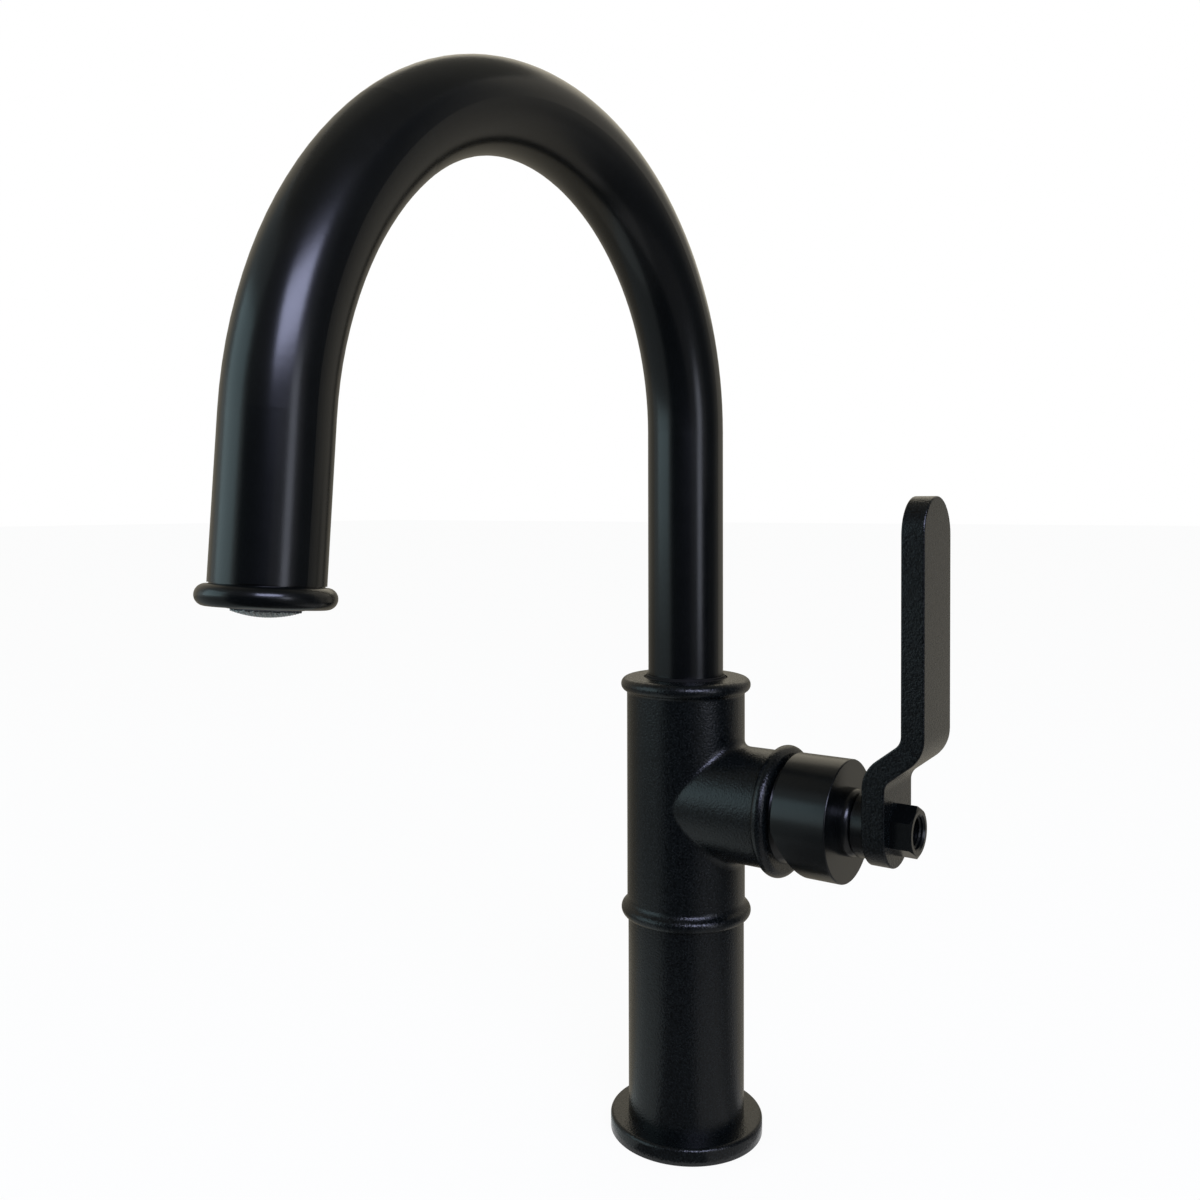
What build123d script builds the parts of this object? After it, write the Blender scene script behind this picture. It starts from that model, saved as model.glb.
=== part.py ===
from build123d import *
import math
import os

# Single-lever basin mixer with a side lever and a swivelling gooseneck spout.
# Millimetres. The origin is the centre of the foot's underside, +Z is up, the spout
# points towards -Y and the handle's branch towards +X.

# foot and column
FLANGE_R = 25.8
FLANGE_H = 5.4
FLANGE_EDGE = 1.2
COLUMN_R = 19.65
COLUMN_WALL = 1.9
COLUMN_Z = 2.8
INSERT_R = 17.0
INSERT_TOP = 16.0
INSERT_RECESS = 0.6
GASKET_IN = 20.0
GASKET_OUT = 24.0
GASKET_T = 1.6
HOSE_PORT_R = 4.46
HOSE_PORT_L = 9.0
STUD_PORT_R = 3.32
STUD_PORT_L = 11.0
STUD_PORT_X = 8.5

# tee casting
BODY_R = 20.0
BEAD_R = 2.4
BEAD_OUT = 22.0
MID_BEAD_BLEND = 2.6
TOP_BEAD_BLEND = 1.2
MID_BEAD_Z = 75.3
TOP_BEAD_Z = 151.8
BRANCH_Z = 113.6
BRANCH_R = 19.0
BRANCH_BEAD_X = 36.8
BRANCH_BEAD_R = 2.4
BRANCH_BEAD_OUT = 21.15
SADDLE_FILLET = 3.0
SPIGOT_Z = 64.0
SPIGOT_CLEAR = 0.05

# water ways
RISER_X = -9.0
RISER_Y = 6.5
RISER_R = 4.0
RISER_WALL = 0.8
RISER_SOCKET = 8.0
WAY_R = 2.4
OUT_WAY_R = 2.8
PORT_UP = 4.5
PORT_DOWN = 5.5

# mixing cartridge, along the branch axis: positions are X values
CHAMBER_X = 4.0
CART_R = 14.0
CART_CLEAR = 0.1
BASE_T = 5.0
DISC_T = 3.5
FIXED_DISC_R = 11.9
MOVING_DISC_R = 9.7
DISC_TRAVEL = 4.24
CARRIER_T = 4.5
HOUSING_WALL = 1.8
HOUSING_X = 35.0
ROTOR_R = 12.1
ROTOR_NECK_R = 9.1
ROTOR_X = 37.6
PIVOT_X = 32.0
PIN_R = 1.5
PIN_L = 16.0
STEM_W = 7.0
STEM_X = 57.6
BALL_R = 2.45
BALL_X = 19.6
NUT_R = 16.0
NUT_BORE = 11.4
NUT_NOSE_R = 12.8
NUT_X0 = 35.0
DOME_R = 18.0
DOME_T = 1.5
DOME_HOLE = 12.4

# handle
HUB_R = 19.3
HUB_X0 = 41.1
HUB_X1 = 59.1
HUB_EDGE = 0.4
HUB_BORE = 17.4
HUB_FLOOR = 52.6
HUB_CUT_DEG = 22.0
HUB_CUT_DROP = 1.0
HUB_SOCKET_R = 6.2
HUB_SOCKET_X = 44.6
NECK_R = 10.6
NECK_X = 63.2
NECK_ROUND = 2.6
SPACER_R = 10.2
LEVER_X = 67.65
LEVER_T = 7.1
LEVER_W = 23.5
LEVER_TOP = 101.5
LEVER_EDGE = 0.5
BEND_START = 13.4
BEND_DEG = 52.0
BEND_R = 8.0
BEND_RUN = 7.6
STUD_R = 5.0
STUD_X0 = 58.0
STUD_X1 = 78.3
NUT_FLATS = 14.0
NUT_END = 81.4
HUB_SCREW_X = 55.4

# spout
TUBE_R = 12.7
TUBE_WALL = 1.5
TUBE_Z = 148.3
ARC_Z = 237.0
ARC_R1 = 84.4
ARC_R2 = 101.4
ARC_PAST = 40.0
ARC_DEG = 175.2
LEG = 36.9
SOCKET_R = 10.0
SOCKET_Z = 130.3
COLLAR_R = 14.2
COLLAR_Z = 146.9
NIPPLE_R = 9.92
SEAL_R = 13.4
SEAL_UP = 0.8
SEAL_SECTION = 0.9
GROOVE_Z = 139.2
RING_R = 15.2
RING_H = 4.9
RING_GAP = 0.25
RING_SKIRT = 9.0
AERATOR_R = 8.6
AERATOR_SLEEVE_R = 9.2
AERATOR_OUT = 0.3
AERATOR_TOP = -5.0
AERATOR_WALL = 1.0
GRID_R = 7.6
GRID_DROP = 1.3
GRID_T = 0.8
GRID_PITCH = 1.9
GRID_HOLE = 1.3

PARTS = {}


def outline(*points):
    """Closed flat face in the XZ plane from (radius, height) corners."""
    return make_face(Polyline(*[(r, 0, z) for r, z in points], close=True))


def turned(*points):
    """Solid turned about +Z from (radius, height) corners."""
    return revolve(outline(*points), axis=Axis.Z)


def rod(radius, low, high, x=0.0, y=0.0):
    """Upright round bar between two heights."""
    return Pos(x, y, (low + high) / 2) * Cylinder(radius, high - low)


def bead(outer, section, height):
    """Half-round bead about +Z: the ring that stands proud of a tube."""
    return Pos(0, 0, height) * Torus(outer - section, section)


def blended_bead(height, side, blend):
    """Bead of the barrel, with a hollow blend into the wall above it (1) or below it (-1)."""
    wall = Pos(0, 0, height + side * BEAD_OUT / 4) * Cylinder(BODY_R, BEAD_OUT / 2)
    ring = wall + bead(BEAD_OUT, BEAD_R, height)
    joint = [e for e in ring.edges().filter_by(GeomType.CIRCLE)
             if abs(e.radius - BODY_R) < 0.01 and 0.5 * BEAD_R < side * (e.center().Z - height) < 1.5 * BEAD_R]
    return fillet(joint, blend)


def on_branch(shape):
    """Lay a shape made about +Z along the branch axis, so its height becomes X."""
    return Pos(0, 0, BRANCH_Z) * (Rot(0, 90, 0) * shape)


def bar_x(radius, x0, x1, y=0.0, up=0.0):
    """Round bar parallel to the branch axis, offset sideways and up from it."""
    bar = Rot(0, 90, 0) * Cylinder(radius, x1 - x0)
    return Pos((x0 + x1) / 2, y, BRANCH_Z + up) * bar


def block(x0, x1, y0, y1, z0, z1):
    """Box between two corners."""
    box = Box(x1 - x0, y1 - y0, z1 - z0)
    return Pos((x0 + x1) / 2, (y0 + y1) / 2, (z0 + z1) / 2) * box


def base_flange():
    foot = turned((INSERT_R, 0), (FLANGE_R, 0), (FLANGE_R, FLANGE_H), (INSERT_R, FLANGE_H))
    edge = foot.edges().filter_by(GeomType.CIRCLE).group_by(Axis.Z)[-1].sort_by(SortBy.RADIUS)[-1]
    foot = fillet(edge, FLANGE_EDGE)
    foot -= rod(COLUMN_R, COLUMN_Z, FLANGE_H + 1)
    groove = rod(GASKET_OUT, -1, GASKET_T) - rod(GASKET_IN, -1, GASKET_T)
    return foot - groove


def base_gasket():
    return rod(GASKET_OUT, 0, GASKET_T) - rod(GASKET_IN, 0, GASKET_T)


def base_insert():
    """Brass plug: collar in the foot, plug in the column, hose and stud threads below."""
    plug_r = COLUMN_R - COLUMN_WALL
    plug = turned((0, INSERT_RECESS), (INSERT_R, INSERT_RECESS), (INSERT_R, COLUMN_Z), (plug_r, COLUMN_Z),
                  (plug_r, INSERT_TOP), (0, INSERT_TOP))
    for y in (-RISER_Y, RISER_Y):
        plug -= rod(HOSE_PORT_R, 0, HOSE_PORT_L + INSERT_RECESS, RISER_X, y)
        plug -= rod(RISER_R - RISER_WALL, 0, INSERT_TOP, RISER_X, y)
        plug -= rod(RISER_R + SPIGOT_CLEAR, INSERT_TOP - 4, INSERT_TOP + 1, RISER_X, y)
    plug -= rod(STUD_PORT_R, 0, STUD_PORT_L + INSERT_RECESS, STUD_PORT_X)
    return plug


def lower_column():
    top = MID_BEAD_Z - BEAD_R
    tube = rod(COLUMN_R, COLUMN_Z, top) - rod(COLUMN_R - COLUMN_WALL, COLUMN_Z - 1, top + 1)
    return tube


def riser_pipe(side):
    low = INSERT_TOP - 4
    high = SPIGOT_Z + RISER_SOCKET - 0.5
    y = side * RISER_Y
    return rod(RISER_R, low, high, RISER_X, y) - rod(RISER_R - RISER_WALL, low - 1, high + 1, RISER_X, y)


def riser_seals():
    """One O-ring round the top of each pipe, in a groove of the casting."""
    z = SPIGOT_Z + RISER_SOCKET / 2
    ring = Torus(RISER_R + 0.75, 0.7)
    return [Pos(RISER_X, side * RISER_Y, z) * ring for side in (-1, 1)]


def tee_body():
    """Cast tee: upright barrel with two beads, branch with its bead, bored for water."""
    low = MID_BEAD_Z - BEAD_R
    top = TOP_BEAD_Z + BEAD_R
    barrel = rod(BODY_R, low, top)
    branch_end = BRANCH_BEAD_X + BRANCH_BEAD_R
    branch = bar_x(BRANCH_R, 0, branch_end)
    body = barrel + branch
    saddle = [e for e in body.edges() if e.geom_type not in (GeomType.CIRCLE, GeomType.LINE)]
    body = fillet(saddle, SADDLE_FILLET)
    body += blended_bead(MID_BEAD_Z, 1, MID_BEAD_BLEND)
    body += blended_bead(TOP_BEAD_Z, -1, TOP_BEAD_BLEND)
    body += on_branch(bead(BRANCH_BEAD_OUT, BRANCH_BEAD_R, BRANCH_BEAD_X))
    spigot_r = COLUMN_R - COLUMN_WALL - SPIGOT_CLEAR
    body += rod(spigot_r, SPIGOT_Z, low + 1)
    # valve chamber in the branch
    body -= bar_x(CART_R + CART_CLEAR, CHAMBER_X, branch_end + 1)
    body -= bar_x(NUT_R, NUT_X0, branch_end + 1)
    # risers come up from below and turn to the chamber floor
    for side in (-1, 1):
        y = side * RISER_Y
        body -= rod(RISER_R + SPIGOT_CLEAR, SPIGOT_Z - 1, SPIGOT_Z + RISER_SOCKET, RISER_X, y)
        body -= rod(WAY_R, SPIGOT_Z, BRANCH_Z + PORT_UP + WAY_R, RISER_X, y)
        body -= bar_x(WAY_R, RISER_X, CHAMBER_X + 1, y, PORT_UP)
        groove_z = SPIGOT_Z + RISER_SOCKET / 2
        body -= rod(RISER_R + 1.5, groove_z - 0.8, groove_z + 0.8, RISER_X, y)
    # mixed water rises to the spout socket
    body -= bar_x(OUT_WAY_R, 0, CHAMBER_X + 1, 0, -PORT_DOWN)
    body -= rod(OUT_WAY_R, BRANCH_Z - PORT_DOWN, SOCKET_Z + 1)
    body -= rod(SOCKET_R, SOCKET_Z, top + 1)
    body -= rod(COLLAR_R, COLLAR_Z, top + 1)
    body -= set_screw_bore()
    return body


def set_screw_bore():
    return Pos(0, BODY_R, GROOVE_Z) * (Rot(90, 0, 0) * Cylinder(2.5, 2 * (BODY_R - SOCKET_R) + 2))


def hex_key(size, depth):
    return extrude(RegularPolygon(size / 2, 6, major_radius=False), depth)


def socket_screw(radius, length, tip_r, tip_l, key):
    """Headless screw about +Z with its hexagon key socket at the top and a dog point below."""
    screw = rod(radius, 0, length) + rod(tip_r, -tip_l, 0)
    return screw - Pos(0, 0, length - 2.5) * hex_key(key, 3)


def spout_set_screw():
    """Screw at the back of the barrel whose point runs in the nipple's groove."""
    screw = socket_screw(2.5, 7.0, 1.4, 3.3, 2.5)
    return Pos(0, BODY_R - 8.2, GROOVE_Z) * (Rot(-90, 0, 0) * screw)


def cartridge_base():
    """Plastic foot of the cartridge with the two inlet ports, the outlet and two pegs."""
    end = CHAMBER_X + BASE_T
    foot = bar_x(CART_R, CHAMBER_X, end)
    for y, up, way in port_places():
        foot -= bar_x(way, CHAMBER_X - 1, end + 1, y, up)
        foot -= bar_x(way + 1.6, CHAMBER_X - 1, CHAMBER_X + 1.2, y, up)
    return foot


def port_places():
    return ((-RISER_Y, PORT_UP, WAY_R), (RISER_Y, PORT_UP, WAY_R), (0, -PORT_DOWN, OUT_WAY_R))


def port_seals():
    rings = []
    for y, up, way in port_places():
        ring = bar_x(way + 1.5, CHAMBER_X, CHAMBER_X + 1.15, y, up)
        rings.append(ring - bar_x(way, CHAMBER_X - 1, CHAMBER_X + 2, y, up))
    return rings


def fixed_ceramic_disc():
    start = CHAMBER_X + BASE_T
    disc = bar_x(FIXED_DISC_R, start, start + DISC_T)
    for y, up, way in port_places():
        disc -= bar_x(way, start - 1, start + DISC_T + 1, y, up)
    return disc


def moving_ceramic_disc():
    """Disc that slides up as the lever tilts; its pocket joins inlets and outlet."""
    start = CHAMBER_X + BASE_T + DISC_T
    rest = -DISC_TRAVEL / 2
    disc = bar_x(MOVING_DISC_R, start, start + DISC_T, 0, rest)
    pocket = block(start - 1, start + 1.8, -6.5, 6.5, BRANCH_Z - 9.0, BRANCH_Z + 1.4)
    return disc - pocket


def disc_carrier():
    start = CHAMBER_X + BASE_T + 2 * DISC_T
    rest = -DISC_TRAVEL / 2
    carrier = bar_x(MOVING_DISC_R, start, start + CARRIER_T, 0, rest)
    for side in (-1, 1):
        flat_y = side * (6.0 + 5.0)
        carrier -= block(start + 1.5, start + CARRIER_T + 1, flat_y - 5, flat_y + 5,
                         BRANCH_Z - 20, BRANCH_Z + 20)
    return carrier - bar_x(BALL_R + 0.15, start + 1.0, start + CARRIER_T + 1)


def cartridge_housing():
    start = CHAMBER_X + BASE_T
    inner = ROTOR_R + CART_CLEAR
    lid = HOUSING_X - HOUSING_WALL
    shell = bar_x(CART_R, start, HOUSING_X)
    shell -= bar_x(inner, start - 1, lid)
    return shell - bar_x(ROTOR_NECK_R + CART_CLEAR, lid - 1, HOUSING_X + 1)


def rotor_start():
    return CHAMBER_X + BASE_T + 2 * DISC_T + CARRIER_T + 0.3


def cartridge_rotor():
    """Plastic rotor with guide ribs for the carrier, the stem's slot and the pin's hole."""
    start = rotor_start()
    shoulder = HOUSING_X - HOUSING_WALL - CART_CLEAR
    rotor = bar_x(ROTOR_R, start, shoulder) + bar_x(ROTOR_NECK_R, shoulder - 1, ROTOR_X)
    ribs = bar_x(ROTOR_R, start - 2.6, start + 1)
    ribs -= block(start - 4, start, -6.15, 6.15, BRANCH_Z - 20, BRANCH_Z + 20)
    rotor += ribs
    half = STEM_W / 2 + 0.1
    slot = outline_x((start - 3, -2.0), (start - 3, 7.4), (PIVOT_X - 4.4, 5.2), (PIVOT_X + 1.5, 3.8),
                     (ROTOR_X + 1, 3.8), (ROTOR_X + 1, -7.3), (PIVOT_X + 1.0, -4.3),
                     (PIVOT_X - 4.4, -4.0))
    rotor -= slab(slot, half)
    return rotor - pin_bar(PIN_R, PIN_L)


def outline_x(*points):
    """Closed face in the XZ plane from (x, height above the branch axis) corners."""
    return make_face(Polyline(*[(x, 0, BRANCH_Z + up) for x, up in points], close=True))


def slab(face, half_width):
    """Plate of the face's shape, the same width on both sides of the XZ plane."""
    return extrude(face, half_width, dir=(0, 1, 0), both=True)


def pin_bar(radius, length):
    return Pos(PIVOT_X, 0, BRANCH_Z) * (Rot(90, 0, 0) * Cylinder(radius, length))


def pivot_pin():
    return pin_bar(PIN_R, PIN_L)


def lever_stem():
    """Square brass stem, with the round neck and ball that push the carrier."""
    half = STEM_W / 2
    stem = block(PIVOT_X - 3.5, STEM_X, -half, half, BRANCH_Z - half, BRANCH_Z + half)
    stem += bar_x(1.8, BALL_X, PIVOT_X - 3)
    stem += Pos(BALL_X, 0, BRANCH_Z) * Sphere(BALL_R)
    return stem - pin_bar(PIN_R + 0.04, PIN_L)


def cartridge_nut():
    """Ring nut in the mouth of the branch, with a hexagon nose for the spanner."""
    end = BRANCH_BEAD_X + BRANCH_BEAD_R
    nut = bar_x(NUT_R, NUT_X0, end)
    nut += bar_x(NUT_NOSE_R, end - 1, end + 2.4)
    return nut - bar_x(NUT_BORE, NUT_X0 - 1, end + 4)


def dome_point(radius, angle):
    """Point of the dome's section at an angle from the branch axis, as (r, height)."""
    return Vector(radius * math.sin(angle), 0, PIVOT_X + radius * math.cos(angle))


def cartridge_dome():
    """Thin dome over the nut, centred on the pivot so that the hub clears it as it tilts."""
    rise = BRANCH_BEAD_X + BRANCH_BEAD_R - PIVOT_X
    edges = []
    ends = []
    for radius in (DOME_R, DOME_R - DOME_T):
        wide = math.acos(rise / radius)
        narrow = math.asin(DOME_HOLE / radius)
        points = [dome_point(radius, a) for a in (wide, (wide + narrow) / 2, narrow)]
        edges.append(ThreePointArc(*points))
        ends.append((points[0], points[2]))
    edges += [Line(a, b) for a, b in zip(*ends)]
    return on_branch(revolve(make_face(Wire(edges)), axis=Axis.Z))


def handle_hub():
    """Drum with a rounded neck; the lower half of its rear edge is cut back for the tilt."""
    drum = bar_x(HUB_R, HUB_X0, HUB_X1)
    drum = fillet(drum.edges().filter_by(GeomType.CIRCLE), HUB_EDGE)
    neck = bar_x(NECK_R, HUB_X1 - 1, NECK_X)
    neck = fillet(neck.edges().filter_by(GeomType.CIRCLE).group_by(Axis.X)[-1], NECK_ROUND)
    drum -= bar_x(HUB_BORE, HUB_X0 - 1, HUB_FLOOR)
    drum += bar_x(HUB_SOCKET_R, HUB_SOCKET_X, HUB_FLOOR + 1)
    drum += neck
    reach = 2 * HUB_R
    back = math.tan(math.radians(HUB_CUT_DEG)) * reach
    wedge = outline_x((HUB_X0, -HUB_CUT_DROP), (HUB_X0 + back, -HUB_CUT_DROP - reach),
                      (HUB_X0 - 5, -HUB_CUT_DROP - reach), (HUB_X0 - 5, -HUB_CUT_DROP))
    skirt_cut = slab(wedge, reach) - bar_x(HUB_SOCKET_R + 0.5, HUB_X0 - 6, HUB_X1)
    drum -= skirt_cut
    half = STEM_W / 2
    drum -= block(HUB_SOCKET_X - 1, STEM_X, -half, half, BRANCH_Z - half, BRANCH_Z + half)
    drum -= bar_x(STUD_R, STUD_X0, NECK_X + 1)
    drum -= Pos(HUB_SCREW_X, 0, BRANCH_Z - HUB_R) * Cylinder(2.0, 2 * (HUB_R - half))
    return drum


def hub_set_screw():
    half = STEM_W / 2
    screw = socket_screw(2.0, 8.0, 1.2, 0.8, 2.0)
    return Pos(HUB_SCREW_X, 0, BRANCH_Z - half - 0.8) * (Rot(180, 0, 0) * screw)


def handle_stud():
    stud = bar_x(STUD_R, STUD_X0, STUD_X1)
    return chamfer(stud.edges().filter_by(GeomType.CIRCLE).group_by(Axis.X)[-1], 0.8)


def lever_spacer():
    ring = bar_x(SPACER_R, NECK_X, LEVER_X)
    ring = chamfer(ring.edges().filter_by(GeomType.CIRCLE), 0.3)
    return ring - bar_x(STUD_R, NECK_X - 1, LEVER_X + 1)


def lever():
    """Flat bar with an S bend and two round ends, clamped by the nut."""
    turn = math.radians(BEND_DEG)
    half = LEVER_T / 2
    x = LEVER_X + half
    step = BEND_R * (1 - math.cos(turn))
    rise = BEND_R * math.sin(turn)
    run_x = BEND_RUN * math.sin(turn)
    run_z = BEND_RUN * math.cos(turn)
    z1 = BEND_START
    x2 = x + step
    z2 = z1 + rise
    x3 = x2 + run_x
    z3 = z2 + run_z
    x4 = x3 + step
    z4 = z3 + rise

    def side(offset):
        """The run of lines and arcs at one side of the centre line."""
        dx = offset * math.cos(turn)
        dz = -offset * math.sin(turn)
        low = Vector(x + offset, 0, BRANCH_Z - LEVER_W / 2)
        p1 = Vector(x + offset, 0, BRANCH_Z + z1)
        p2 = Vector(x2 + dx, 0, BRANCH_Z + z2 + dz)
        p3 = Vector(x3 + dx, 0, BRANCH_Z + z3 + dz)
        p4 = Vector(x4 + offset, 0, BRANCH_Z + z4)
        top = Vector(x4 + offset, 0, BRANCH_Z + LEVER_TOP)
        up = Vector(0, 0, 1)
        slope = Vector(math.sin(turn), 0, math.cos(turn))
        edges = [Line(low, p1), TangentArc(p1, p2, tangent=up), Line(p2, p3),
                 TangentArc(p3, p4, tangent=slope), Line(p4, top)]
        return edges, low, top

    back, back_low, back_top = side(-half)
    front, front_low, front_top = side(half)
    loop = back + front + [Line(back_low, front_low), Line(back_top, front_top)]
    bar = slab(make_face(Wire(loop)), LEVER_W / 2)
    # round both ends: keep what lies inside a stadium seen along the branch axis
    stadium = SlotOverall(LEVER_TOP + LEVER_W / 2, LEVER_W)
    middle = BRANCH_Z + (LEVER_TOP - LEVER_W / 2) / 2
    keep = extrude(Plane((LEVER_X - 5, 0, middle), x_dir=(0, 0, 1), z_dir=(1, 0, 0)) * stadium, 40)
    bar = bar & keep
    bar = fillet(bar.edges(), LEVER_EDGE)
    return bar - bar_x(STUD_R, LEVER_X - 1, LEVER_X + LEVER_T + 1)


def lever_nut():
    """Hexagon nut with a round chamfered face; the stud ends inside it."""
    start = LEVER_X + LEVER_T
    height = NUT_END - start
    plane = Plane((start, 0, BRANCH_Z), x_dir=(0, 0, 1), z_dir=(1, 0, 0))
    nut = extrude(plane * RegularPolygon(NUT_FLATS / 2, 6, major_radius=False), height)
    corner = NUT_FLATS / math.sqrt(3)
    face_r = NUT_FLATS / 2 - 0.2
    cone = on_branch(turned((0, start - 1), (corner + 1, start - 1),
                            (corner + 1, NUT_END - 0.5 * (corner + 1 - face_r)),
                            (face_r, NUT_END), (0, NUT_END)))
    nut = nut & cone
    nut -= bar_x(STUD_R, start - 1, NUT_END + 1)
    return nut - on_branch(turned((0, NUT_END - 0.6), (STUD_R, NUT_END - 0.6),
                                  (STUD_R + 0.6, NUT_END), (STUD_R + 0.6, NUT_END + 1), (0, NUT_END + 1)))


def spout_path():
    """Centre line: riser, an arc to a little past the crown, a wider arc and a straight leg."""
    start = Vector(0, 0, TUBE_Z)
    spring = Vector(0, 0, ARC_Z)
    past = math.radians(ARC_PAST)
    over = math.radians(ARC_DEG - 90)
    outward = Vector(0, -math.sin(past), math.cos(past))
    ease = Vector(0, -ARC_R1, ARC_Z) + outward * ARC_R1
    centre = ease - outward * ARC_R2
    foot = centre + Vector(0, -math.sin(over), math.cos(over)) * ARC_R2
    along = Vector(0, -math.cos(over), -math.sin(over))
    riser = Line(start, spring)
    rise_arc = TangentArc(spring, ease, tangent=(0, 0, 1))
    fall_arc = TangentArc(ease, foot, tangent=(0, -math.cos(past), -math.sin(past)))
    leg = Line(foot, foot + along * LEG)
    return Wire([riser, rise_arc, fall_arc, leg])


def spout_end():
    """Plane at the mouth of the tube: its z axis points the way the water leaves."""
    path = spout_path()
    return Plane(origin=path @ 1, x_dir=(1, 0, 0), z_dir=path % 1)


def spout_tube():
    path = spout_path()
    start = Plane(origin=path @ 0, z_dir=path % 0)
    outer = sweep(start * Circle(TUBE_R), path=path)
    inner = sweep(start * Circle(TUBE_R - TUBE_WALL), path=path)
    return outer - inner


def spout_nipple():
    """Brass fitting in the foot of the tube, grooved for the O-rings and the screw."""
    inner = TUBE_R - TUBE_WALL
    nipple = rod(NIPPLE_R, SOCKET_Z + 0.5, TUBE_Z) + rod(inner, TUBE_Z, TUBE_Z + 14)
    nipple -= rod(6.5, SOCKET_Z - 1, TUBE_Z + 20)
    for z in (SOCKET_Z + 4.0, SOCKET_Z + 14.0):
        nipple -= rod(NIPPLE_R + 1, z - 1.1, z + 1.1) - rod(8.1, z - 2, z + 2)
    return nipple - (rod(NIPPLE_R + 1, GROOVE_Z - 1.8, GROOVE_Z + 1.8) - rod(8.2, GROOVE_Z - 3, GROOVE_Z + 3))


def spout_o_rings():
    ring = Torus(9.0, SEAL_SECTION)
    return [Pos(0, 0, z) * ring for z in (SOCKET_Z + 4.0, SOCKET_Z + 14.0)]


def spout_slip_ring():
    return rod(COLLAR_R - 0.05, COLLAR_Z, TUBE_Z - 0.05) - rod(NIPPLE_R + 0.1, COLLAR_Z - 1, TUBE_Z + 1)


def spout_dust_seal():
    top = TOP_BEAD_Z + BEAD_R
    ring = turned((TUBE_R, TUBE_Z + 1), (COLLAR_R - 0.3, TUBE_Z + 1), (COLLAR_R - 0.3, top - 0.3),
                  (SEAL_R, top + 0.2), (SEAL_R, top + SEAL_UP - 0.2), (SEAL_R - 0.2, top + SEAL_UP),
                  (TUBE_R, top + SEAL_UP))
    return ring


def outlet_ring():
    """Rounded ring screwed on the mouth of the tube; a thin gap shows above it."""
    half = RING_H / 2
    ring = bead(RING_R, half, half + RING_GAP) + rod(RING_R - half, RING_GAP, RING_H + RING_GAP)
    ring += rod(TUBE_R - TUBE_WALL, -RING_SKIRT, RING_GAP + 0.05)
    ring += rod(TUBE_R - 0.4, 0, RING_GAP + 0.05)
    ring -= rod(AERATOR_SLEEVE_R, -RING_SKIRT - 1, RING_H + 1)
    return spout_end() * ring


def aerator_lip():
    """How far below the mouth of the tube the lip of the aerator ends."""
    return RING_H + RING_GAP + AERATOR_OUT


def aerator_housing():
    """Plastic sleeve in the ring, with a lip below that holds the domed grid."""
    lip = aerator_lip()
    seat = lip - AERATOR_OUT - 0.4
    body = turned((GRID_R - AERATOR_WALL, AERATOR_TOP), (AERATOR_SLEEVE_R, AERATOR_TOP),
                  (AERATOR_SLEEVE_R, seat), (AERATOR_R, seat), (AERATOR_R, lip - 0.3),
                  (AERATOR_R - 0.3, lip), (GRID_R, lip), (GRID_R, seat), (GRID_R - AERATOR_WALL, seat))
    return spout_end() * body


def aerator_washer():
    ring = rod(AERATOR_SLEEVE_R, AERATOR_TOP - 1.8, AERATOR_TOP)
    ring -= rod(GRID_R - AERATOR_WALL, AERATOR_TOP - 3, AERATOR_TOP + 1)
    return spout_end() * ring


def aerator_grid():
    """Shallow dome of square openings that hangs just below the lip."""
    lip = aerator_lip()
    seat = lip - AERATOR_OUT - 0.4
    radius = (GRID_R ** 2 + GRID_DROP ** 2) / (2 * GRID_DROP)
    centre = Pos(0, 0, lip + GRID_DROP - radius)
    dome = centre * Sphere(radius) - centre * Sphere(radius - GRID_T)
    dome &= rod(GRID_R, seat, lip + GRID_DROP + 1)
    count = int(GRID_R / GRID_PITCH)
    for i in range(-count, count + 1):
        for j in range(-count, count + 1):
            if math.hypot(i, j) * GRID_PITCH + GRID_HOLE < GRID_R:
                dome -= Pos(i * GRID_PITCH, j * GRID_PITCH, lip) * Box(GRID_HOLE, GRID_HOLE, 4 * GRID_DROP)
    return spout_end() * dome


def save(name, shape):
    """Write one node; a list holds separate pieces of the same kind."""
    solids = shape if isinstance(shape, list) else [shape]
    whole = Compound([piece for item in solids for piece in item.solids()])
    PARTS[name] = whole
    export_step(whole, "parts/%s.step" % name)


os.makedirs("parts", exist_ok=True)
save("base_flange", base_flange())
save("base_gasket", base_gasket())
save("base_insert", base_insert())
save("lower_column", lower_column())
save("hot_riser_pipe", riser_pipe(-1))
save("cold_riser_pipe", riser_pipe(1))
save("riser_seals", riser_seals())
save("tee_body", tee_body())
save("spout_set_screw", spout_set_screw())
save("spout_slip_ring", spout_slip_ring())
save("cartridge_base", cartridge_base())
save("port_seals", port_seals())
save("fixed_ceramic_disc", fixed_ceramic_disc())
save("cartridge_housing", cartridge_housing())
save("cartridge_nut", cartridge_nut())
save("cartridge_dome", cartridge_dome())
save("cartridge_rotor", cartridge_rotor())
save("pivot_pin", pivot_pin())
save("moving_ceramic_disc", moving_ceramic_disc())
save("disc_carrier", disc_carrier())
save("lever_stem", lever_stem())
save("handle_hub", handle_hub())
save("hub_set_screw", hub_set_screw())
save("handle_stud", handle_stud())
save("lever_spacer", lever_spacer())
save("lever", lever())
save("lever_nut", lever_nut())
save("spout_tube", spout_tube())
save("spout_nipple", spout_nipple())
save("spout_o_rings", spout_o_rings())
save("spout_dust_seal", spout_dust_seal())
save("outlet_ring", outlet_ring())
save("aerator_housing", aerator_housing())
save("aerator_washer", aerator_washer())
save("aerator_grid", aerator_grid())
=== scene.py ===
import math

import bpy
from mathutils import Matrix, Vector


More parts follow.
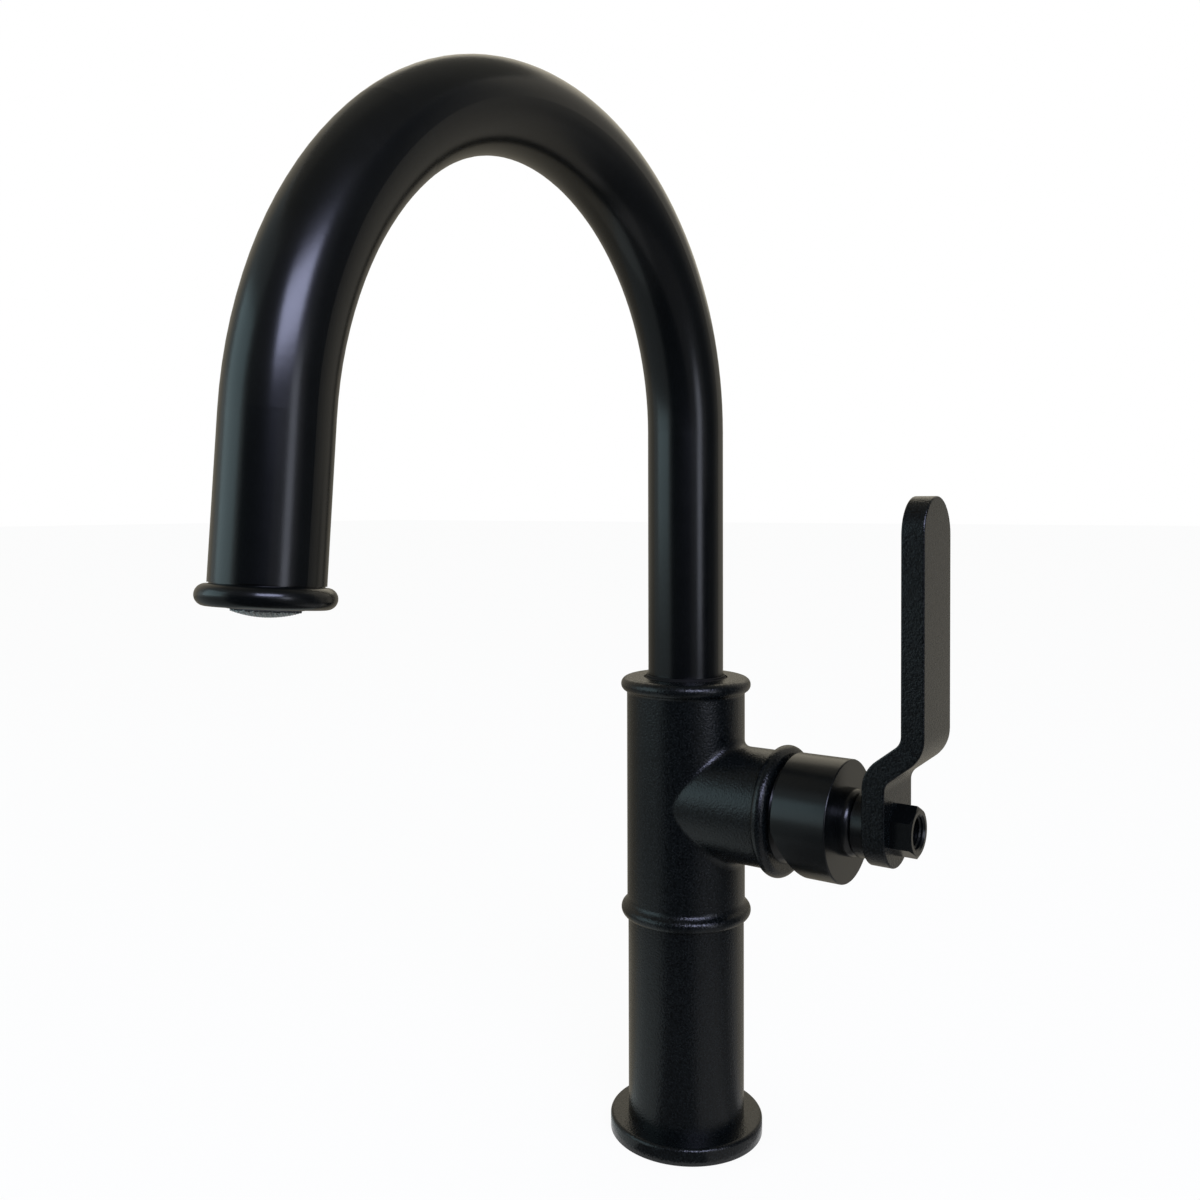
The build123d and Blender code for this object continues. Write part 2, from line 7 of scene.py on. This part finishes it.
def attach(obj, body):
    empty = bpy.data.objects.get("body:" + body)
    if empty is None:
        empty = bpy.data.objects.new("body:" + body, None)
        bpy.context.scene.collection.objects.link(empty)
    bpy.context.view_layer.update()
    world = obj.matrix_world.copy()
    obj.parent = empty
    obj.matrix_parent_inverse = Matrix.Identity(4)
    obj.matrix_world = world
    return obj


# A tall single-lever basin mixer in matt black: a round foot and column, a cast tee with
# a side branch, a gooseneck spout that swivels, and a flat lever bolted to a drum hub.
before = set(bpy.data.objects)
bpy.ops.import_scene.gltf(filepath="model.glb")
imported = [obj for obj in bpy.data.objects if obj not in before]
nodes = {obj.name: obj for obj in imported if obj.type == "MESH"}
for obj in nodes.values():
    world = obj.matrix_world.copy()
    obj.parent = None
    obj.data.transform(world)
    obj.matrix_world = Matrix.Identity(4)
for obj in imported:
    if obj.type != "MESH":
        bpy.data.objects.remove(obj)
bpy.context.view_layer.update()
scene = bpy.context.scene
scene.view_settings.view_transform = "Standard"


# The camera
# It stands close, at the height of the outlet and to the right of the spout, and looks
# almost level, so the uprights stay parallel.
CAMERA_AT = (0.20319, -0.34408, 0.21271)
HEADING = math.radians(35.49)
DIP = math.radians(0.96)
ROLL = math.radians(-0.15)
SENSOR_MM = 36
FRAME_PX = 1200
FOCAL_PX = 1169.91
CENTRE_PX = (584.63, 524.52)

right = Vector((math.cos(HEADING), math.sin(HEADING), 0))
level = Vector((-math.sin(HEADING), math.cos(HEADING), 0))
ahead = level * math.cos(DIP) - Vector((0, 0, math.sin(DIP)))
up = right.cross(ahead)
across = right * math.cos(ROLL) + up * math.sin(ROLL)
upward = up * math.cos(ROLL) - right * math.sin(ROLL)
camera_data = bpy.data.cameras.new("camera")
camera_data.sensor_width = SENSOR_MM
camera_data.lens = SENSOR_MM * FOCAL_PX / FRAME_PX
camera_data.shift_x = (FRAME_PX / 2 - CENTRE_PX[0]) / FRAME_PX
camera_data.shift_y = (CENTRE_PX[1] - FRAME_PX / 2) / FRAME_PX
camera_data.clip_start = 0.01
camera = bpy.data.objects.new("camera", camera_data)
turn = Matrix((across, upward, -ahead)).transposed().to_4x4()
camera.matrix_world = Matrix.Translation(CAMERA_AT) @ turn
scene.collection.objects.link(camera)
scene.camera = camera


# The studio
# A pale floor under a white sky, with three softboxes. Round the tap stands a ring of grey
# and dark cards that glow and that only reflections see, so they are painted reflections:
# black paint shows little but what it mirrors, so the cards give the barrel and the spout
# their painted dark and light bands.
def linear(hex_colour):
    """An sRGB hex colour as the linear colour that a shader takes."""
    parts = [int(hex_colour[i:i + 2], 16) / 255 for i in (0, 2, 4)]
    return [p / 12.92 if p <= 0.04045 else ((p + 0.055) / 1.055) ** 2.4 for p in parts] + [1.0]


def add(tree, kind, links=None, **settings):
    """A shader node: settings name an attribute or an input, and links join inputs to outputs."""
    node = tree.nodes.new(kind)
    for key, value in settings.items():
        if hasattr(node, key):
            setattr(node, key, value)
        else:
            node.inputs[key.replace("_", " ")].default_value = value
    for key, output in (links or {}).items():
        tree.links.new(output, node.inputs[key])
    return node


def fresh(name):
    """An empty material and its node tree."""
    material = bpy.data.materials.new(name)
    material.use_nodes = True
    material.node_tree.nodes.clear()
    return material, material.node_tree


def sees_background(tree):
    """1 for a ray that shows the background: straight, mirrored or through glass."""
    path = add(tree, "ShaderNodeLightPath").outputs
    either = add(tree, "ShaderNodeMath", {0: path["Is Camera Ray"], 1: path["Is Glossy Ray"]},
                 operation="MAXIMUM")
    return add(tree, "ShaderNodeMath", {0: either.outputs[0], 1: path["Is Transmission Ray"]},
               operation="MAXIMUM").outputs[0]


FILL = 0.85
world = bpy.data.worlds.new("studio")
scene.world = world
world.use_nodes = True
sky = world.node_tree
sky.nodes.clear()
dim = add(sky, "ShaderNodeBackground", Color=linear("e9ecf0"), Strength=FILL)
white = add(sky, "ShaderNodeBackground", Color=linear("ffffff"), Strength=1.0)
chosen = add(sky, "ShaderNodeMixShader",
             {0: sees_background(sky), 1: dim.outputs[0], 2: white.outputs[0]})
add(sky, "ShaderNodeOutputWorld", {"Surface": chosen.outputs[0]})


def place_at(heading, distance, height):
    """A point round the tap: the heading counts from the camera's side, to the right."""
    turned = math.radians(heading) + HEADING
    return Vector((math.sin(turned) * distance, -math.cos(turned) * distance, height))


LAMP_AIM = Vector((0, 0, 0.25))
# each row: a softbox's name, its heading, distance and height, the width and height of its
# face, its watts and its colour
LAMPS = (
    ("softbox_key", 15, 1.37, 1.00, 0.95, 0.5, 19.0, "d2d8ff"),
    ("softbox_low", 39, 1.5, 0.30, 0.34, 0.7, 2.4, "e6ecff"),
    ("softbox_left", -77, 1.45, 0.58, 1.1, 0.9, 4.0, "ccf4ff"),
)
for name, heading, distance, height, width, tall, watts, colour in LAMPS:
    data = bpy.data.lights.new(name, "AREA")
    data.shape = "RECTANGLE"
    data.size = width
    data.size_y = tall
    data.energy = watts
    data.color = linear(colour)[:3]
    box = bpy.data.objects.new(name, data)
    at = place_at(heading, distance, height)
    facing = (LAMP_AIM - at).to_track_quat("-Z", "Y")
    box.matrix_world = Matrix.Translation(at) @ facing.to_matrix().to_4x4()
    scene.collection.objects.link(box)

CARD_STEPS = 8
CARD_NEAR = 0.027
CARD_RING = 0.20
CARD_FAR = 2.2
CARD_LIFT = 0.0005
CARD_MIDDLE = 0.75
CARD_HIGH = 2.6
# the four sheets of a card, each from one (distance, height) to another
SHEETS = (
    ("near", ((CARD_NEAR, CARD_LIFT), (CARD_RING, CARD_LIFT))),
    ("floor", ((CARD_RING, CARD_LIFT), (CARD_FAR, CARD_LIFT))),
    ("low", ((CARD_FAR, 0.0), (CARD_FAR, CARD_MIDDLE))),
    ("high", ((CARD_FAR, CARD_MIDDLE), (CARD_FAR, CARD_HIGH))),
)
# each row: a card's name, the headings where it starts and ends, its tint, and how light
# its near, floor, low and high sheets are
CARDS = (
    ("front", -50, 12, "ffffff", 0.10, 0.025, 0.03, 0.14),
    ("right", 12, 62, "ffffff", 0.40, 0.16, 0.21, 0.16),
    ("side", 62, 92, "ffffff", 0.20, 0.07, 0.06, 0.08),
    ("edge", 92, 104, "ffffff", 0.50, 0.20, 0.14, 0.15),
    ("far_right", 104, 140, "fff8e8", 0.42, 0.45, 0.42, 0.55),
    ("back", 140, 200, "fff6e0", 0.30, 0.30, 0.30, 1.05),
    ("far_left", 200, 245, "fff6e0", 0.42, 0.26, 0.40, 0.45),
    ("left", 245, 310, "f4ffff", 0.58, 0.30, 0.56, 0.36),
)
CEILING = ((0.0, CARD_HIGH), (CARD_FAR, CARD_HIGH))
CEILING_TINT = "fffae8"
# each row: half of the ceiling, the heading where it starts, and how light it is
CEILINGS = (("front", -80, 0.13), ("back", 100, 0.20))


def card(name, start, end, corners, shade, tint):
    """A glowing sheet of card bent round the tap, seen only by what mirrors it: a painted
    reflection.
    """
    headings = [start + (end - start) * i / CARD_STEPS for i in range(CARD_STEPS + 1)]
    points = [place_at(h, distance, height) for h in headings for distance, height in corners]
    faces = [(2 * i, 2 * i + 1, 2 * i + 3, 2 * i + 2) for i in range(CARD_STEPS)]
    mesh = bpy.data.meshes.new(name)
    mesh.from_pydata(points, [], faces)
    sheet = bpy.data.objects.new(name, mesh)
    scene.collection.objects.link(sheet)
    for sight in ("camera", "diffuse", "shadow", "transmission"):
        setattr(sheet, "visible_" + sight, False)
    # the card's paper is an even glow at its shade that only reflections show: a painted
    # reflection, not lit paper
    paint, tree = fresh(name + "_paper")
    flat = add(tree, "ShaderNodeEmission", Color=linear(tint), Strength=shade)
    add(tree, "ShaderNodeOutputMaterial", {"Surface": flat.outputs[0]})
    mesh.materials.append(paint)


for name, start, end, tint, *shades in CARDS:
    for (part, corners), shade in zip(SHEETS, shades):
        card(f"card_{part}_{name}", start, end, corners, shade, tint)
for name, start, shade in CEILINGS:
    card("card_ceiling_" + name, start, start + 180, CEILING, shade, CEILING_TINT)

# The floor glows for a ray that shows the background, all but the share that its shadow
# takes.
FLOOR_HALF = 12.0
FLOOR_GLOW = 0.93
floor_mesh = bpy.data.meshes.new("floor")
edges = ((-1, -1), (1, -1), (1, 1), (-1, 1))
floor_mesh.from_pydata([(FLOOR_HALF * x, FLOOR_HALF * y, 0) for x, y in edges], [], [(0, 1, 2, 3)])
floor = bpy.data.objects.new("floor", floor_mesh)
scene.collection.objects.link(floor)
floor_paint, tree = fresh("white_paper_floor")
paper = add(tree, "ShaderNodeBsdfDiffuse", Color=linear("e8e8e6"))
glow = add(tree, "ShaderNodeEmission", Color=linear("ffffff"), Strength=1.0)
share = add(tree, "ShaderNodeMath", {0: sees_background(tree)}, operation="MULTIPLY")
share.inputs[1].default_value = FLOOR_GLOW
mixed = add(tree, "ShaderNodeMixShader",
            {0: share.outputs[0], 1: paper.outputs[0], 2: glow.outputs[0]})
add(tree, "ShaderNodeOutputMaterial", {"Surface": mixed.outputs[0]})
floor_mesh.materials.append(floor_paint)


# The foot
# A forged and turned brass ring that spreads the load on the basin and hides the tap
# hole. It is under a thermoset powder coat, sprayed dry and baked: deep black and matt,
# with a fine sandy grain that breaks every highlight into points.
def surface(name):
    """An empty material, its node tree and the point on the piece that its patterns start from."""
    material, tree = fresh(name)
    return material, tree, add(tree, "ShaderNodeTexCoord").outputs["Object"]


def noise(tree, place, size_mm, detail=2.0, stretch=None):
    """A noise with grains about this many millimetres across; stretch scales each axis first."""
    if stretch:
        place = add(tree, "ShaderNodeMapping", {"Vector": place}, Scale=stretch).outputs[0]
    return add(tree, "ShaderNodeTexNoise", {"Vector": place}, Scale=1000 / size_mm,
               Detail=detail).outputs[0]


def between(tree, factor, first, second):
    """A colour that wanders between two hex colours."""
    blend = add(tree, "ShaderNodeMix", {0: factor}, data_type="RGBA")
    blend.inputs[6].default_value = linear(first)
    blend.inputs[7].default_value = linear(second)
    return blend.outputs[2]


def close(tree, tone, rough=None, bump=None, **settings):
    """End a material in its shader: a tone, and a roughness and a bump where it has them."""
    links = {"Base Color": tone}
    if rough is not None:
        links["Roughness"] = rough.outputs[0]
    if bump is not None:
        links["Normal"] = bump.outputs[0]
    shader = add(tree, "ShaderNodeBsdfPrincipled", links, **settings)
    add(tree, "ShaderNodeOutputMaterial", {"Surface": shader.outputs[0]})


def dress(material, *names):
    """Give CAD nodes one material."""
    for name in names:
        nodes[name].data.materials.clear()
        nodes[name].data.materials.append(material)


# Real grains are some 0.1 mm across; they are drawn much coarser, so that they show. Only
# the middle of the noise is used, which sets the grains apart.
POWDER_GRAIN_MM = 0.6
powder, tree, place = surface("black_powder_coat_on_brass")
sand = noise(tree, place, POWDER_GRAIN_MM)
grain = add(tree, "ShaderNodeMapRange", {"Value": sand}, From_Min=0.3, From_Max=0.7).outputs[0]
tone = between(tree, grain, "010203", "0d1112")
rough = add(tree, "ShaderNodeMapRange", {"Value": grain}, To_Min=0.17, To_Max=0.29)
bump = add(tree, "ShaderNodeBump", {"Height": grain}, Strength=1.0, Distance=0.00005)
close(tree, tone, rough, bump, IOR=1.45, Specular_IOR_Level=0.4)
dress(powder, "base_flange", "lower_column", "tee_body", "lever")


# The gasket and the other rubber rings
# Nitrile rubber, pressed hot in a steel mould and wiped clean: a dull grey-black with a
# faint bloom, dry, with the mould's fine pitting.
RUBBER_PIT_MM = 0.35
RUBBER_BLOOM_MM = 5.0
rubber, tree, place = surface("moulded_nitrile_rubber")
pits = noise(tree, place, RUBBER_PIT_MM, 3.0)
tone = between(tree, noise(tree, place, RUBBER_BLOOM_MM), "040404", "0a0a0a")
bump = add(tree, "ShaderNodeBump", {"Height": pits}, Strength=0.5, Distance=0.00004)
close(tree, tone, None, bump, Roughness=0.62, IOR=1.52, Specular_IOR_Level=0.25)
dress(rubber, "base_gasket", "riser_seals", "port_seals", "spout_o_rings", "spout_dust_seal",
      "aerator_washer")


# The brass plug in the foot
# Free-cutting brass bar, faced and bored on a lathe and then tapped for two hoses and a
# stud. The tool leaves fine rings that stretch each highlight into a streak across them.
BRASS_FEED_MM = 0.25
BRASS_TONE_MM = 6.0
BRASS_WEAR_MM = 1.2


def wave_scale(pitch_mm):
    """The scale of a wave with this pitch: it repeats every 2 pi / 20 of its own unit."""
    return 2 * math.pi / 20 / (pitch_mm / 1000)


def turned_brass(name, axis, centre):
    """Brass off the lathe: rings round the axis on end faces and bands along it on the sides."""
    material, tree, place = surface(name)
    moved = add(tree, "ShaderNodeMapping", {"Vector": place}, Location=[-c for c in centre])
    scale = wave_scale(BRASS_FEED_MM)
    rings = add(tree, "ShaderNodeTexWave", {"Vector": moved.outputs[0]}, wave_type="RINGS",
                rings_direction=axis, Scale=scale)
    bands = add(tree, "ShaderNodeTexWave", {"Vector": moved.outputs[0]}, wave_type="BANDS",
                bands_direction=axis, Scale=scale)
    marks = add(tree, "ShaderNodeMath", {0: rings.outputs[1], 1: bands.outputs[1]},
                operation="ADD").outputs[0]
    tone = between(tree, noise(tree, place, BRASS_TONE_MM), "c9a24e", "dcb968")
    wear = noise(tree, place, BRASS_WEAR_MM)
    rough = add(tree, "ShaderNodeMapRange", {"Value": wear}, To_Min=0.20, To_Max=0.32)
    bump = add(tree, "ShaderNodeBump", {"Height": marks}, Strength=0.6, Distance=0.000012)
    close(tree, tone, rough, bump, Metallic=1.0)
    return material


upright_brass = turned_brass("turned_brass", "Z", (0, 0, 0))
dress(upright_brass, "base_insert", "spout_nipple")

THREAD_STEPS = 24
# a ridge's foot is sunk in the wall by this many millimetres; half its foot and half its
# crest are these shares of the pitch
THREAD_SINK = 0.03
THREAD_FOOT = 0.46
THREAD_CREST = 0.06


def thread(name, at, along, bore, pitch, length, height, body, material, slot):
    """A helical ridge that stands in a bore: along is the unit direction of the bore's axis."""
    along = Vector(along)
    side = along.orthogonal().normalized()
    other = along.cross(side)
    seat = bore + THREAD_SINK
    crest = bore - height
    section = ((seat, -THREAD_FOOT * pitch), (crest, -THREAD_CREST * pitch),
               (crest, THREAD_CREST * pitch), (seat, THREAD_FOOT * pitch))
    points = []
    count = int((length / pitch - 1) * THREAD_STEPS)
    for i in range(count + 1):
        angle = 2 * math.pi * i / THREAD_STEPS
        out = side * math.cos(angle) + other * math.sin(angle)
        rise = pitch / 2 + pitch * i / THREAD_STEPS
        points += [Vector(at) + (out * r + along * (rise + shift)) / 1000 for r, shift in section]
    faces = [(4 * i + a, 4 * i + b, 4 * i + 4 + b, 4 * i + 4 + a)
             for i in range(count) for a, b in ((0, 1), (1, 2), (2, 3), (3, 0))]
    faces += [(3, 2, 1, 0), tuple(4 * count + k for k in range(4))]
    mesh = bpy.data.meshes.new(name)
    mesh.from_pydata(points, [], faces)
    mesh.materials.append(material)
    ridge = bpy.data.objects.new(name, mesh)
    scene.collection.objects.link(ridge)
    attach(ridge, body)


THREAD_START = 0.0008
# each row: a thread's name, where its bore is in metres, then the bore's radius, the pitch,
# the thread's length and the ridge's height in millimetres
PLUG_THREADS = (
    ("cold_hose_thread", -0.009, 0.0065, 4.46, 1.0, 8.6, 0.35),
    ("hot_hose_thread", -0.009, -0.0065, 4.46, 1.0, 8.6, 0.35),
    ("fixing_stud_thread", 0.0085, 0, 3.32, 1.25, 10.4, 0.45),
)
for name, x, y, *sizes in PLUG_THREADS:
    thread(name, (x, y, THREAD_START), (0, 0, 1), *sizes, "standing_body", upright_brass, "brass")


# The column's pipes
# Two soft copper pipes, drawn through a die and cut to length, carry hot and cold water
# up inside the column. Drawing leaves lines along them, and handling has tanned them.
COPPER_LINE_MM = 0.3
COPPER_STAIN_MM = 9.0
copper, tree, place = surface("drawn_copper_tube")
lines = noise(tree, place, COPPER_LINE_MM, 2.0, (1.0, 1.0, 0.02))
tone = between(tree, noise(tree, place, COPPER_STAIN_MM, 3.0), "b97552", "8d573d")
tan = noise(tree, place, COPPER_STAIN_MM)
rough = add(tree, "ShaderNodeMapRange", {"Value": tan}, To_Min=0.24, To_Max=0.42)
bump = add(tree, "ShaderNodeBump", {"Height": lines}, Strength=0.4, Distance=0.00003)
close(tree, tone, rough, bump, Metallic=1.0)
dress(copper, "hot_riser_pipe", "cold_riser_pipe")


# The screws and pins
# Hardened steel with a black oxide dip and a wipe of oil: a soft blue-black metal that
# has dulled in patches.
OXIDE_PATCH_MM = 1.4
oxide, tree, place = surface("black_oxide_steel")
patch = noise(tree, place, OXIDE_PATCH_MM, 3.0)
tone = between(tree, patch, "1c1d20", "2b2c2e")
rough = add(tree, "ShaderNodeMapRange", {"Value": patch}, To_Min=0.34, To_Max=0.55)
bump = add(tree, "ShaderNodeBump", {"Height": patch}, Strength=0.3, Distance=0.00002)
close(tree, tone, rough, bump, Metallic=1.0)
dress(oxide, "spout_set_screw", "hub_set_screw", "pivot_pin", "handle_stud")


# The spout
# Brass tube, bent cold on a former and polished, then sprayed with a satin black paint.
# The paint lies smoother than the powder coat, with a slight orange peel, so the lamps
# show in it as soft clear bands.
PEEL_MM = 1.6
PAINT_HAZE_MM = 8.0
satin, tree, place = surface("black_satin_paint_on_brass")
peel = noise(tree, place, PEEL_MM)
haze = noise(tree, place, PAINT_HAZE_MM)
tone = between(tree, haze, "030506", "050708")
rough = add(tree, "ShaderNodeMapRange", {"Value": haze}, To_Min=0.21, To_Max=0.26)
bump = add(tree, "ShaderNodeBump", {"Height": peel}, Strength=0.08, Distance=0.0001)
close(tree, tone, rough, bump, IOR=1.45)
dress(satin, "spout_tube", "outlet_ring")


# The plastic bearings and the cartridge's shell
# Acetal, injection moulded and left bare. It is waxy and slightly uneven in tone, with
# the soft sheen of the polished mould. The moving parts are grey, the fixed ones white.
FLOW_MM = 4.0
for name, low, high, worn in (
        ("white_moulded_acetal", "d6d4cc", "e4e2db",
         ("spout_slip_ring", "cartridge_base", "cartridge_housing")),
        ("grey_moulded_acetal", "6e7174", "7c7f82", ("cartridge_rotor", "disc_carrier"))):
    acetal, tree, place = surface(name)
    flow = noise(tree, place, FLOW_MM, 2.0, (1.0, 0.35, 1.0))
    tone = between(tree, flow, low, high)
    bump = add(tree, "ShaderNodeBump", {"Height": flow}, Strength=0.2, Distance=0.00003)
    close(tree, tone, None, bump, Roughness=0.38, IOR=1.48)
    dress(acetal, *worn)


# The aerator
# A moulded sleeve in the outlet ring with a lip below. The lip holds a shallow dome that
# breaks the water into drops, and a stainless mesh is pressed over the dome.
ABS_TONE_MM = 3.0
ABS_GRAIN_MM = 0.5
abs_plastic, tree, place = surface("moulded_grey_abs")
tone = between(tree, noise(tree, place, ABS_TONE_MM), "3a3c3e", "454749")
grain = noise(tree, place, ABS_GRAIN_MM)
bump = add(tree, "ShaderNodeBump", {"Height": grain}, Strength=0.2, Distance=0.00003)
close(tree, tone, None, bump, Roughness=0.42, IOR=1.53)
dress(abs_plastic, "aerator_housing", "aerator_grid")

# Drawn stainless wire: bright and clean, with streaks where the weaving rolls rubbed it.
WIRE_STREAK_MM = 0.6
wire_steel, tree, place = surface("drawn_stainless_wire")
streak = noise(tree, place, WIRE_STREAK_MM)
tone = between(tree, streak, "a4a8ab", "cfd2d4")
rough = add(tree, "ShaderNodeMapRange", {"Value": streak}, To_Min=0.18, To_Max=0.34)
close(tree, tone, rough, Metallic=1.0)

# All in millimetres but the mouth of the tube, which is a point of the shared frame.
MOUTH = Vector((0, -0.177605, 0.195692))
SPOUT_LEAN = math.radians(4.8)
DOME_REACH = 7.5
DOME_BALL = 22.87
DOME_LOW = 6.75
WIRE_PITCH = 0.8
WIRE_R = 0.13
down = Vector((0, -math.sin(SPOUT_LEAN), -math.cos(SPOUT_LEAN)))
sideways = Vector((1, 0, 0))
forward = down.cross(sideways)
mesh_curve = bpy.data.curves.new("aerator_mesh", "CURVE")
mesh_curve.dimensions = "3D"
mesh_curve.bevel_depth = WIRE_R / 1000
mesh_curve.bevel_resolution = 1
wires = int(DOME_REACH / WIRE_PITCH)
rows = range(-wires, wires + 1)
for way in (0, 1):
    for k in rows:
        line = k * WIRE_PITCH
        reach = math.sqrt(DOME_REACH ** 2 - line ** 2)
        stops = [s * WIRE_PITCH for s in rows if abs(s * WIRE_PITCH) < reach]
        spline = mesh_curve.splines.new("POLY")
        spline.points.add(len(stops) + 1)
        for point, run in zip(spline.points, [-reach] + stops + [reach]):
            # each wire goes over one crossing wire and under the next
            over = WIRE_R * (1 if (round(run / WIRE_PITCH) + k + way) % 2 else -1)
            a, b = (run, line) if way else (line, run)
            sag = DOME_BALL - math.sqrt(DOME_BALL ** 2 - a * a - b * b)
            depth = DOME_LOW - sag + 2 * WIRE_R + over
            spot = MOUTH + (sideways * a + forward * b + down * depth) / 1000
            point.co = (*spot, 1.0)
mesh_curve.materials.append(wire_steel)
mesh_dome = bpy.data.objects.new("aerator_mesh", mesh_curve)
scene.collection.objects.link(mesh_dome)
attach(mesh_dome, "spout")


# The mixing cartridge
# Two discs of alumina, pressed, fired at white heat and lapped flat until they slide on a
# film of water. They are cream and almost glassy, with a fine mottle.
BRANCH_Z = 0.1136
MOTTLE_MM = 1.0
alumina, tree, place = surface("lapped_alumina")
mottle = noise(tree, place, MOTTLE_MM, 3.0)
tone = between(tree, mottle, "e6e2d8", "efece4")
rough = add(tree, "ShaderNodeMapRange", {"Value": mottle}, To_Min=0.10, To_Max=0.20)
close(tree, tone, rough, IOR=1.76)
dress(alumina, "fixed_ceramic_disc", "moving_ceramic_disc")

# The nut that holds the cartridge and the square stem are turned brass, lying along the
# branch.
branch_brass = turned_brass("turned_brass_on_the_branch", "X", (0, 0, BRANCH_Z))
dress(branch_brass, "cartridge_nut", "lever_stem")


# The handle
# The drum, the spacer, the nut and the dome behind them are turned brass under the same
# satin paint as the spout. On their end faces the turning rings show faintly through.
FACE_FEED_MM = 0.6
turned_satin, tree, place = surface("black_satin_paint_on_turned_brass")
moved = add(tree, "ShaderNodeMapping", {"Vector": place}, Location=(0, 0, -BRANCH_Z))
rings = add(tree, "ShaderNodeTexWave", {"Vector": moved.outputs[0]}, wave_type="RINGS",
            rings_direction="X", Scale=wave_scale(FACE_FEED_MM))
peel = add(tree, "ShaderNodeMath", {0: rings.outputs[1], 1: noise(tree, place, PEEL_MM)},
           operation="ADD").outputs[0]
haze = noise(tree, place, PAINT_HAZE_MM)
tone = between(tree, haze, "040607", "070909")
rough = add(tree, "ShaderNodeMapRange", {"Value": haze}, To_Min=0.22, To_Max=0.28)
bump = add(tree, "ShaderNodeBump", {"Height": peel}, Strength=0.06, Distance=0.00006)
close(tree, tone, rough, bump, IOR=1.45)
dress(turned_satin, "cartridge_dome", "handle_hub", "lever_spacer", "lever_nut")

NUT_THREAD_X = 0.0783
thread("lever_nut_thread", (NUT_THREAD_X, 0, BRANCH_Z), (1, 0, 0), 5.0, 1.0, 2.6, 0.45,
       "handle", turned_satin, "black_satin_paint")
